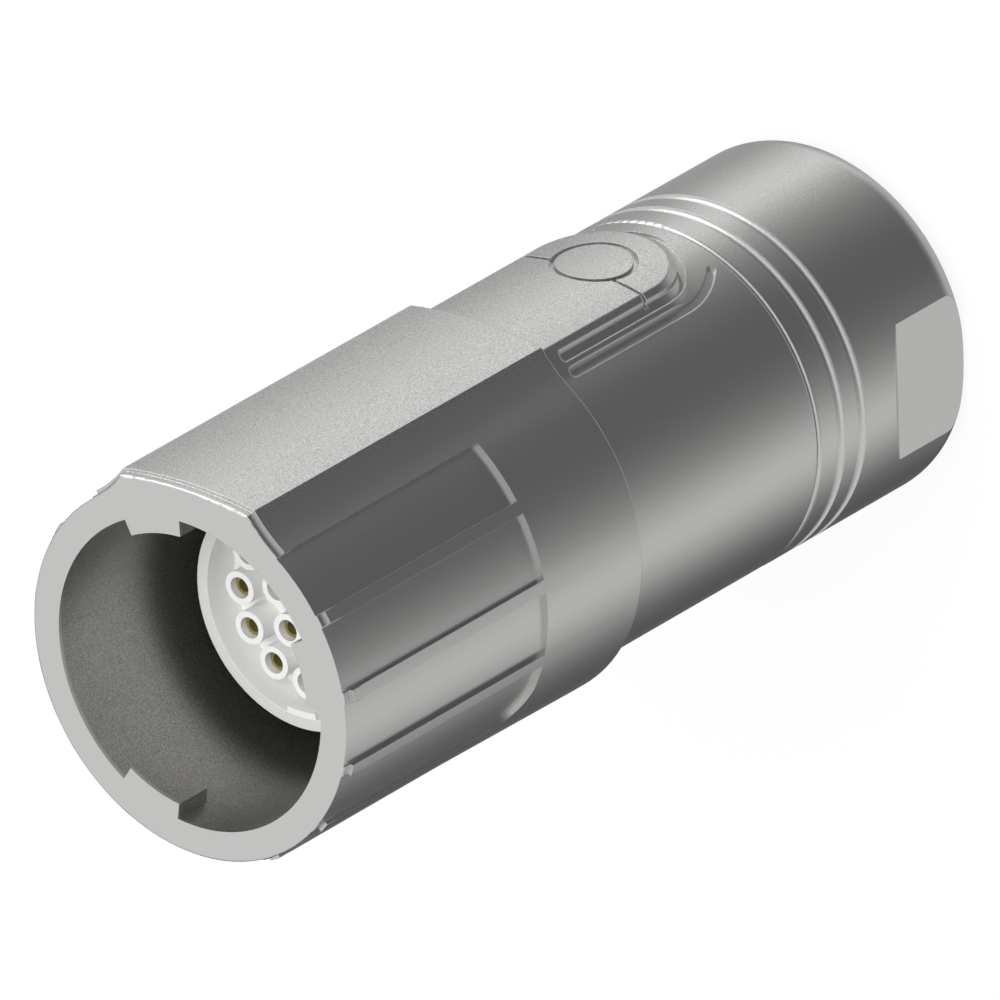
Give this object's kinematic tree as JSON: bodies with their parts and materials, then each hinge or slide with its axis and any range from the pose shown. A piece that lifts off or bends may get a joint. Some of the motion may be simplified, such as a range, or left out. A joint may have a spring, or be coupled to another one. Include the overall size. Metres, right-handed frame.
{
  "type": "cable plug",
  "caption": "Straight round cable plug with a quick-lock coupling sleeve, a socket insert and a cable gland.",
  "frame": {"origin": "centre of the gland nut's flat rear face, which the plug stands on", "axes": "+Z along the plug's axis to the mating face, -Y to the index pad on the sleeve and the tongue on the housing, +X to the right seen from behind the cable with the index pad down"},
  "size_m": [0.0284, 0.0288, 0.0711],
  "materials": {
    "sleeve_nickel": "satin nickel plate on a die casting",
    "housing_nickel": "satin nickel plate on a die casting",
    "nut_nickel": "satin nickel plate on a turned nut",
    "insert_plastic": "natural moulded plastic",
    "insulator_plastic": "natural moulded plastic",
    "clamp_plastic": "natural moulded plastic",
    "seal_rubber": "matte black",
    "grommet_rubber": "matte black",
    "spring_steel": "bright drawn",
    "cage_plastic": "black moulded plastic",
    "shield_nickel": "nickel plate",
    "contact_gold": "thin gold plate"
  },
  "bodies": {
    "gland_nut": {"gland_nut": "nut_nickel"},
    "cable_clamp": {"thrust_washer": "cage_plastic", "clamp_cage": "cage_plastic", "cable_seal": "grommet_rubber"},
    "housing": {"housing": "housing_nickel", "contact_carrier": "insert_plastic", "rear_insulator": "insulator_plastic", "insert_clamp_ring": "clamp_plastic", "contact_01": "contact_gold", "contact_02": "contact_gold", "contact_03": "contact_gold", "contact_04": "contact_gold", "contact_05": "contact_gold", "contact_06": "contact_gold", "contact_07": "contact_gold", "contact_08": "contact_gold", "contact_09": "contact_gold", "contact_10": "contact_gold", "contact_11": "contact_gold", "contact_12": "contact_gold", "contact_13": "contact_gold", "contact_14": "contact_gold", "contact_15": "contact_gold", "contact_16": "contact_gold", "contact_17": "contact_gold", "face_seal": "seal_rubber", "snap_ring": "spring_steel", "preload_washer": "spring_steel", "sleeve_seal": "seal_rubber", "nut_seal": "seal_rubber", "shield_ring": "shield_nickel"},
    "coupling_sleeve": {"coupling_sleeve": "sleeve_nickel"}
  },
  "joints": [
    {"name": "gland_turn", "type": "hinge", "parent": "gland_nut", "child": "cable_clamp", "pos_m": [0, 0, 0], "axis": [0, 0, 1], "range_deg": [0, 720]},
    {"name": "gland_travel", "type": "slide", "parent": "cable_clamp", "child": "housing", "axis": [0, 0, 1], "range_m": [0, 0.002]},
    {"name": "sleeve_turn", "type": "hinge", "parent": "housing", "child": "coupling_sleeve", "pos_m": [0, 0, 0], "axis": [0, 0, 1], "range_deg": [0, 45]}
  ],
  "couplings": [
    {"joint": "gland_turn", "follows": "gland_travel", "rad_per_m": 6280}
  ]
}
